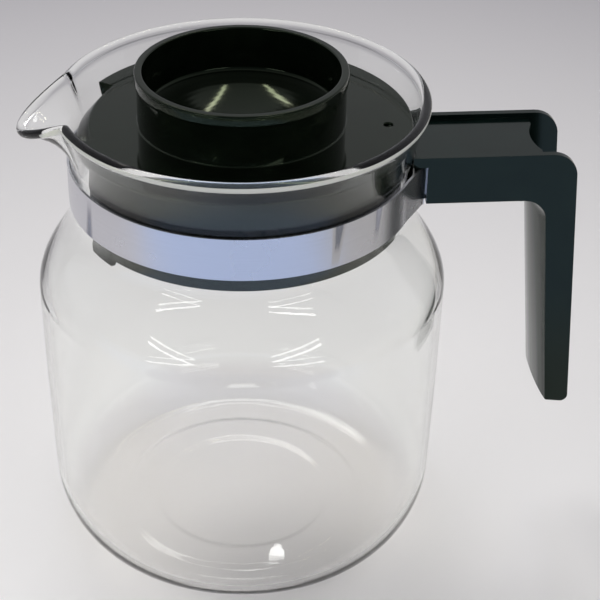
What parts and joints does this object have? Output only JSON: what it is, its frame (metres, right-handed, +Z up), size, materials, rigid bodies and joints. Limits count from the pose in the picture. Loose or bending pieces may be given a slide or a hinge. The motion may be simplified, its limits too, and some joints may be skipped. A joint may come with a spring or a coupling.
{
  "type": "coffee server carafe",
  "caption": "Glass coffee carafe with a drawn pouring spout, a steel neck band, a black channel handle and a lift-off black lid with a raised open collar.",
  "frame": {"origin": "middle of the foot ring, on the face that the jug stands on", "axes": "+Z up along the axis of the glass, +X towards the handle, -X towards the spout"},
  "size_m": [0.1895, 0.14, 0.1763],
  "materials": {
    "clear_glass": "clear, polished",
    "band_steel": "satin",
    "handle_plastic": "fine satin moulding",
    "lid_plastic": "semi-gloss moulding"
  },
  "bodies": {
    "jug": {"glass_jug": "clear_glass", "neck_band": "band_steel", "handle": "handle_plastic", "clamp_nut_plate": "band_steel", "clamp_washer": "band_steel", "clamp_screw": "band_steel"},
    "lid": {"lid": "lid_plastic"}
  },
  "joints": [
    {"name": "lid_lift", "type": "slide", "parent": "jug", "child": "lid", "axis": [0, 0, 1], "range_m": [0, 0.06]}
  ]
}
